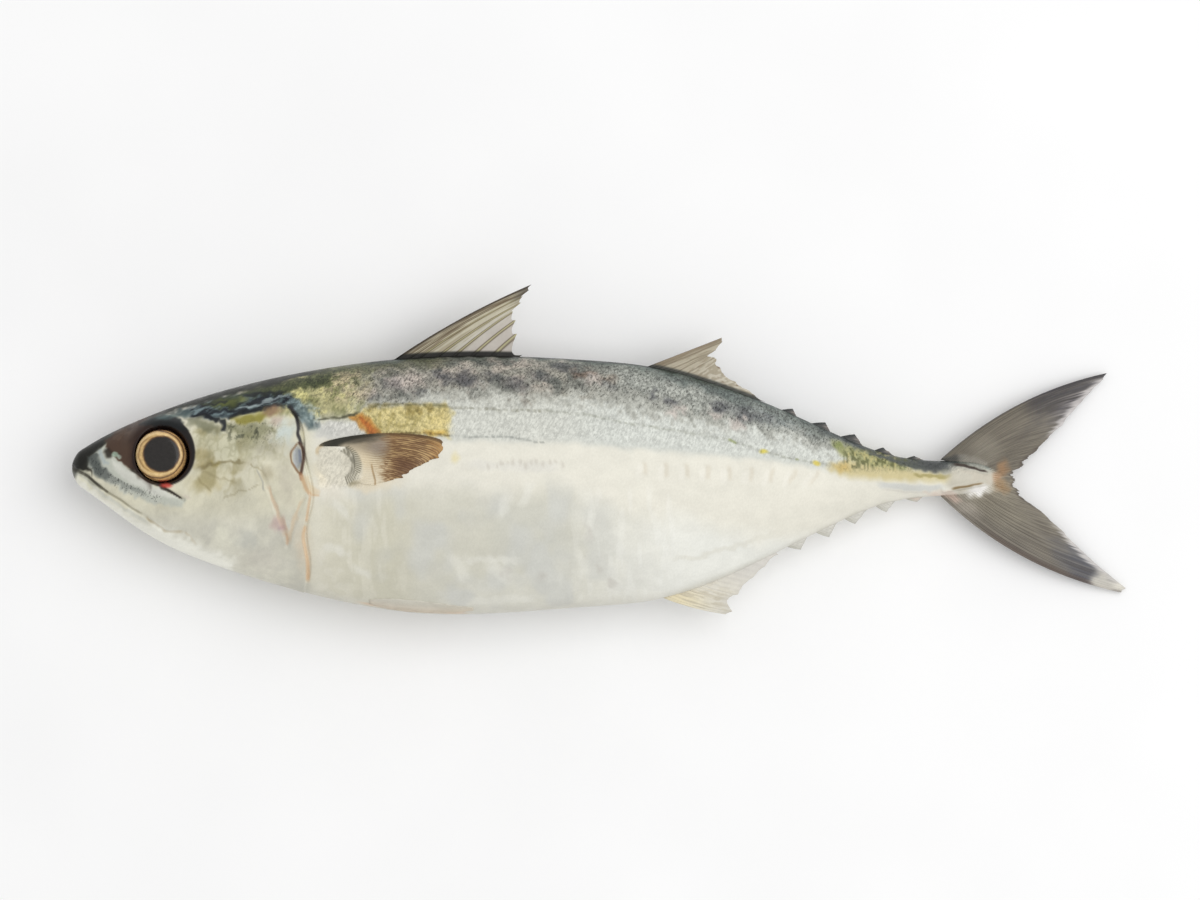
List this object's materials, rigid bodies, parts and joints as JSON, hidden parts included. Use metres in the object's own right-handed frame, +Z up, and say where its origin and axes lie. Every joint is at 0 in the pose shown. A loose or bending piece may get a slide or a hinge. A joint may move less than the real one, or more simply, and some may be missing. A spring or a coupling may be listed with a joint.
{
  "type": "whole raw fish",
  "caption": "Whole raw mackerel lying flat on its side, with raised eyes, a gill cover, toothed dorsal, breast and belly fins, finlets on the tail stalk and a deeply forked tail.",
  "frame": {"origin": "on the surface the fish lies on, under the middle of its bounding box", "axes": "+X from the snout to the tail, +Y from the belly to the back, +Z up, out of the left side"},
  "size_m": [0.2236, 0.07, 0.0274],
  "materials": {
    "skin": "wet, softly glossy silver skin",
    "eye": "clear wet gloss"
  },
  "bodies": {
    "root": {"fish": "skin", "eye_left": "eye", "eye_right": "eye"}
  },
  "joints": []
}
